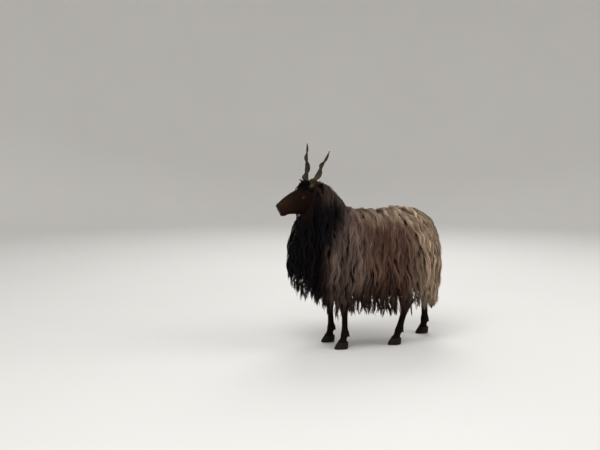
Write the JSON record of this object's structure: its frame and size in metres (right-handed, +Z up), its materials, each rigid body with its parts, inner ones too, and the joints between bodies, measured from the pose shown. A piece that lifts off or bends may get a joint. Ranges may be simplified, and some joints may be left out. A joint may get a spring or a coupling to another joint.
{
  "type": "racka sheep",
  "caption": "Life-size still model of a standing racka ewe with two corkscrew horns set in a V and a long dark fleece that hangs in locks.",
  "frame": {"origin": "on the ground, under the middle of the whole animal's box", "axes": "+Z up, -Y the way she faces, +X her left side"},
  "size_m": [0.4464, 0.8972, 1.0109],
  "materials": {
    "coat": "long coarse wool in wavy locks, near black at the neck, weathered brown on the flank and grey-brown over the rump",
    "face": "short black hair that lies flat on the face, ears and legs",
    "horn": "dark horn with growth ridges",
    "hoof": "dark hoof horn",
    "eye": "wet dark amber eye with a level slit pupil"
  },
  "bodies": {
    "root": {"head": "face", "ear_left": "face", "ear_right": "face", "eye_left": "eye", "eye_right": "eye", "horn_left": "horn", "horn_right": "horn", "neck": "coat", "torso": "coat", "tail": "coat", "leg_front_left": "face", "leg_front_right": "face", "leg_hind_left": "face", "leg_hind_right": "face", "hoof_front_left_inner": "hoof", "hoof_front_left_outer": "hoof", "hoof_front_right_inner": "hoof", "hoof_front_right_outer": "hoof", "hoof_hind_left_inner": "hoof", "hoof_hind_left_outer": "hoof", "hoof_hind_right_inner": "hoof", "hoof_hind_right_outer": "hoof"}
  },
  "joints": []
}
